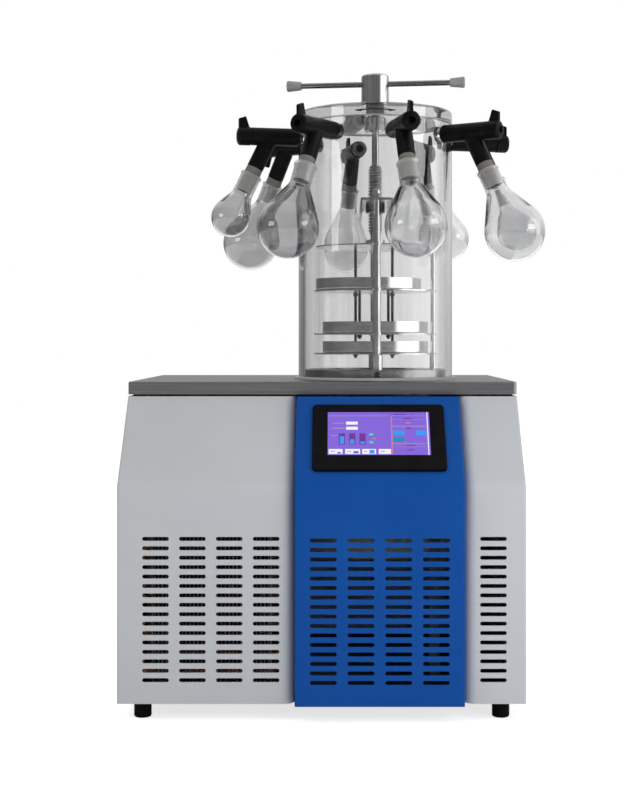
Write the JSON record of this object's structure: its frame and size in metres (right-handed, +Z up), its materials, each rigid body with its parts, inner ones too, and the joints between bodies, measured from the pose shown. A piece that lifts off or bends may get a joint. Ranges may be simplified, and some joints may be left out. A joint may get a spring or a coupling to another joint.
{
  "type": "freeze dryer",
  "caption": "Benchtop freeze dryer: refrigerated cabinet under a clear drying chamber with a screw-pressed shelf rack, flask valves and pear-shaped flasks.",
  "frame": {"origin": "on the floor under the middle of the cabinet, in the plane of the four rubber feet", "axes": "+X to the right seen from the front, +Y to the rear, +Z up"},
  "size_m": [0.6874, 0.648, 1.0262],
  "materials": {
    "cover_paint": "fine textured powder coat, pale grey",
    "panel_paint": "smooth semi-gloss enamel, deep blue",
    "brushed_steel": "linear brushed stainless steel",
    "polished_steel": "polished stainless steel",
    "frame_steel": "zinc plated steel",
    "foot_rubber": "black rubber",
    "valve_rubber": "black moulded rubber",
    "seal_silicone": "white silicone",
    "bezel_plastic": "black glass-like plastic",
    "screen": "lit display",
    "case_plastic": "black moulded plastic",
    "foam": "polyurethane foam",
    "copper": "drawn copper tube",
    "compressor_paint": "black enamel",
    "fin_aluminium": "thin rolled aluminium",
    "acrylic": "clear polished acrylic",
    "flask_glass": "clear borosilicate glass",
    "cone_plastic": "pale beige plastic cone",
    "cap_plastic": "pale grey plastic"
  },
  "bodies": {
    "cabinet": {"base_frame": "frame_steel", "left_cover": "cover_paint", "right_cover": "cover_paint", "front_cover": "panel_paint", "rear_cover": "cover_paint", "top_plate": "brushed_steel", "rubber_feet": "foot_rubber", "display_bezel": "bezel_plastic", "display_screen": "screen", "control_box": "case_plastic", "cold_trap": "brushed_steel", "trap_insulation": "foam", "evaporator_coil": "copper", "compressor": "compressor_paint", "condenser": "fin_aluminium", "refrigerant_pipes": "copper", "fan_shroud": "frame_steel", "vacuum_port": "brushed_steel", "drain_valve": "polished_steel", "power_inlet": "case_plastic", "chamber_seals": "seal_silicone", "chamber_tube": "acrylic", "chamber_lid": "acrylic", "shaft_gland": "brushed_steel", "rack_base": "polished_steel", "rack_posts": "polished_steel", "post_nuts": "polished_steel", "rack_bridge": "polished_steel", "press_nut": "polished_steel", "bottom_shelf": "polished_steel", "bottom_tray": "brushed_steel", "port_nipples": "polished_steel", "valve_bodies": "valve_rubber", "joint_cones": "cone_plastic", "large_flasks": "flask_glass", "medium_flasks": "flask_glass", "small_flask": "flask_glass"},
    "handle": {"handle_hub": "brushed_steel", "handle_bar": "polished_steel", "handle_caps": "cap_plastic", "drive_shaft": "polished_steel"},
    "press": {"press_plate": "polished_steel", "press_hangers": "polished_steel"},
    "screw": {"press_screw": "polished_steel"},
    "upper_shelf": {"top_shelf": "polished_steel", "shelf_hangers": "polished_steel", "top_tray": "brushed_steel"},
    "lower_shelf": {"middle_shelf": "polished_steel", "middle_tray": "brushed_steel"},
    "fan": {"fan_rotor": "case_plastic"},
    "drain": {"drain_lever": "polished_steel"},
    "switch": {"power_switch": "case_plastic"},
    "knob_1": {"valve_knob_1": "valve_rubber"},
    "knob_2": {"valve_knob_2": "valve_rubber"},
    "knob_3": {"valve_knob_3": "valve_rubber"},
    "knob_4": {"valve_knob_4": "valve_rubber"},
    "knob_5": {"valve_knob_5": "valve_rubber"},
    "knob_6": {"valve_knob_6": "valve_rubber"},
    "knob_7": {"valve_knob_7": "valve_rubber"},
    "knob_8": {"valve_knob_8": "valve_rubber"}
  },
  "joints": [
    {"name": "handle_turn", "type": "hinge", "parent": "cabinet", "child": "handle", "pos_m": [0.088, 0.024, 1], "axis": [0, 0, -1], "range_deg": [0, 3600]},
    {"name": "press_slide", "type": "slide", "parent": "cabinet", "child": "press", "axis": [0, 0, -1], "range_m": [0, 0.05]},
    {"name": "screw_turn", "type": "hinge", "parent": "press", "child": "screw", "pos_m": [0.088, 0.024, 1], "axis": [0, 0, -1], "range_deg": [0, 3600]},
    {"name": "top_shelf_lift", "type": "slide", "parent": "press", "child": "upper_shelf", "axis": [0, 0, 1], "range_m": [0, 0.05]},
    {"name": "middle_shelf_stay", "type": "slide", "parent": "upper_shelf", "child": "lower_shelf", "axis": [0, 0, 1], "range_m": [0, 0.04]},
    {"name": "fan_spin", "type": "hinge", "parent": "cabinet", "child": "fan", "pos_m": [-0.1686, -0.2, 0.16], "axis": [0, 1, 0], "continuous": true},
    {"name": "drain_turn", "type": "hinge", "parent": "cabinet", "child": "drain", "pos_m": [0.088, 0.308, 0.16], "axis": [0, 0, 1], "range_deg": [0, 90]},
    {"name": "switch_rock", "type": "hinge", "parent": "cabinet", "child": "switch", "pos_m": [-0.23, 0.284, 0.112], "axis": [1, 0, 0], "range_deg": [0, 24]},
    {"name": "knob_turn_1", "type": "hinge", "parent": "cabinet", "child": "knob_1", "pos_m": [0.13735, -0.19859, 0.915], "axis": [0.2164, -0.9763, 0], "range_deg": [0, 180]},
    {"name": "knob_turn_2", "type": "hinge", "parent": "cabinet", "child": "knob_2", "pos_m": [0.28029, -0.0985, 0.915], "axis": [0.8434, -0.5373, 0], "range_deg": [0, 180]},
    {"name": "knob_turn_3", "type": "hinge", "parent": "cabinet", "child": "knob_3", "pos_m": [0.3106, 0.07335, 0.915], "axis": [0.9763, 0.2164, 0], "range_deg": [0, 180]},
    {"name": "knob_turn_4", "type": "hinge", "parent": "cabinet", "child": "knob_4", "pos_m": [0.2105, 0.21629, 0.915], "axis": [0.5373, 0.8434, 0], "range_deg": [0, 180]},
    {"name": "knob_turn_5", "type": "hinge", "parent": "cabinet", "child": "knob_5", "pos_m": [0.03865, 0.2466, 0.915], "axis": [-0.2164, 0.9763, 0], "range_deg": [0, 180]},
    {"name": "knob_turn_6", "type": "hinge", "parent": "cabinet", "child": "knob_6", "pos_m": [-0.10429, 0.1465, 0.915], "axis": [-0.8434, 0.5373, 0], "range_deg": [-180, 0]},
    {"name": "knob_turn_7", "type": "hinge", "parent": "cabinet", "child": "knob_7", "pos_m": [-0.13459, -0.02535, 0.915], "axis": [-0.9763, -0.2164, 0], "range_deg": [0, 180]},
    {"name": "knob_turn_8", "type": "hinge", "parent": "cabinet", "child": "knob_8", "pos_m": [-0.0345, -0.16829, 0.915], "axis": [-0.5373, -0.8434, 0], "range_deg": [0, 180]}
  ],
  "couplings": [
    {"joint": "press_slide", "follows": "handle_turn", "m_per_rad": 0.00079577},
    {"joint": "screw_turn", "follows": "handle_turn", "ratio": 1},
    {"joint": "middle_shelf_stay", "follows": "handle_turn", "m_per_rad": 0.00063661}
  ]
}
